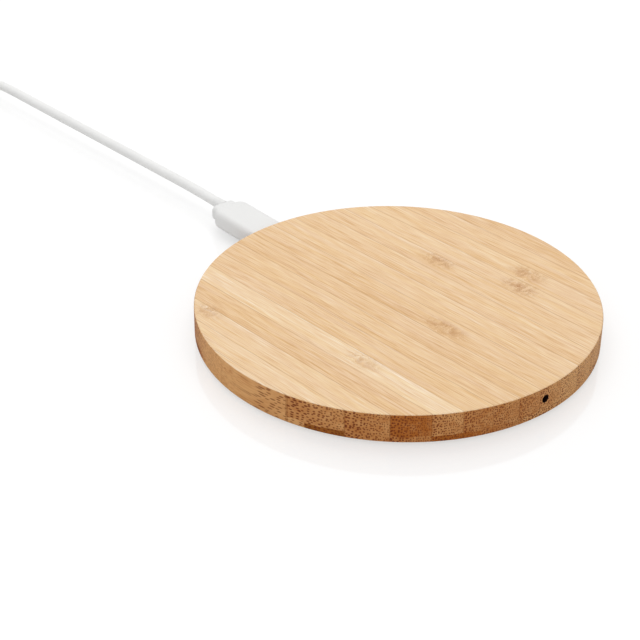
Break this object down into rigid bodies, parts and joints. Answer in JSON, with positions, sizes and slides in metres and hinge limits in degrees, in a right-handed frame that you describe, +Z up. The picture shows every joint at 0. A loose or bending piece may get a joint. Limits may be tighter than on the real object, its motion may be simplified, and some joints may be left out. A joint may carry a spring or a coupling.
{
  "type": "wireless charging pad",
  "caption": "Round bamboo wireless charging pad with a side indicator bore and a detachable white USB cable stored in a small tied coil.",
  "frame": {"origin": "on the floor under the middle of the round pad, cable left out", "axes": "+Z up through the charging face, +Y towards the micro plug and its cable, -Y towards the indicator bore"},
  "size_m": [0.1048, 0.2725, 0.0084],
  "materials": {
    "bamboo": "fine-sanded laminated bamboo, thin clear satin finish",
    "base_plastic": "fine matte moulded ABS",
    "silicone": "matte silicone",
    "screw_steel": "plated steel",
    "board_laminate": "green solder mask on glass epoxy",
    "port_steel": "tinned sheet steel",
    "black_plastic": "moulded nylon",
    "contact_gold": "gold-plated contacts",
    "chip_epoxy": "moulded epoxy",
    "capacitor_ceramic": "fired ceramic with tinned ends",
    "ferrite_black": "sintered ferrite",
    "lamp_epoxy": "diffused epoxy lamp body",
    "tinned_wire": "tinned wire",
    "clear_acrylic": "clear cast rod",
    "grey_foam": "closed-cell foam",
    "coil_copper": "enamelled litz copper",
    "tape_film": "thin adhesive film",
    "sensor_epoxy": "dipped epoxy bead",
    "white_moulding": "soft-touch white TPE moulding",
    "plug_steel": "nickel-plated sheet steel",
    "white_jacket": "white TPE cable jacket, satin",
    "white_plastic": "moulded white plastic",
    "tie_plastic": "soft plastic band"
  },
  "bodies": {
    "pad": {"bamboo_shell": "bamboo", "base_plate": "base_plastic", "foot_ring": "silicone", "base_screws": "screw_steel", "circuit_board": "board_laminate", "board_screws": "screw_steel", "socket_shell": "port_steel", "socket_tongue": "black_plastic", "socket_contacts": "contact_gold", "controller_chip": "chip_epoxy", "power_mosfets": "chip_epoxy", "resonant_capacitors": "capacitor_ceramic", "input_capacitors": "capacitor_ceramic", "filter_inductor": "ferrite_black", "crystal": "port_steel", "voltage_regulator": "chip_epoxy", "chip_resistors": "chip_epoxy", "indicator_led": "lamp_epoxy", "led_leads": "tinned_wire", "light_pipe": "clear_acrylic", "coil_spacer": "grey_foam", "ferrite_shield": "ferrite_black", "transmit_coil": "coil_copper", "coil_tape": "tape_film", "coil_leads": "coil_copper", "thermistor": "sensor_epoxy", "thermistor_leads": "tinned_wire"},
    "cable": {"micro_plug_overmold": "white_moulding", "micro_plug_shell": "plug_steel", "micro_plug_insulator": "black_plastic", "micro_plug_contacts": "contact_gold", "cable_lead": "white_jacket", "cable_coil": "white_jacket", "cable_tail": "white_jacket", "cable_ties": "tie_plastic", "usb_a_overmold": "white_moulding", "usb_a_shell": "plug_steel", "usb_a_insulator": "white_plastic", "usb_a_contacts": "contact_gold"},
    "latch": {"micro_plug_latch": "plug_steel"}
  },
  "joints": [
    {"name": "cable_pull", "type": "slide", "parent": "pad", "child": "cable", "axis": [0, 1, 0], "range_m": [0, 0.008]},
    {"name": "latch_spring", "type": "hinge", "parent": "cable", "child": "latch", "pos_m": [0, 0.0515, 0.00375], "axis": [1, 0, 0], "range_deg": [0, 4], "stiffness_Nm_per_rad": 0.02, "springref_deg": 4}
  ]
}
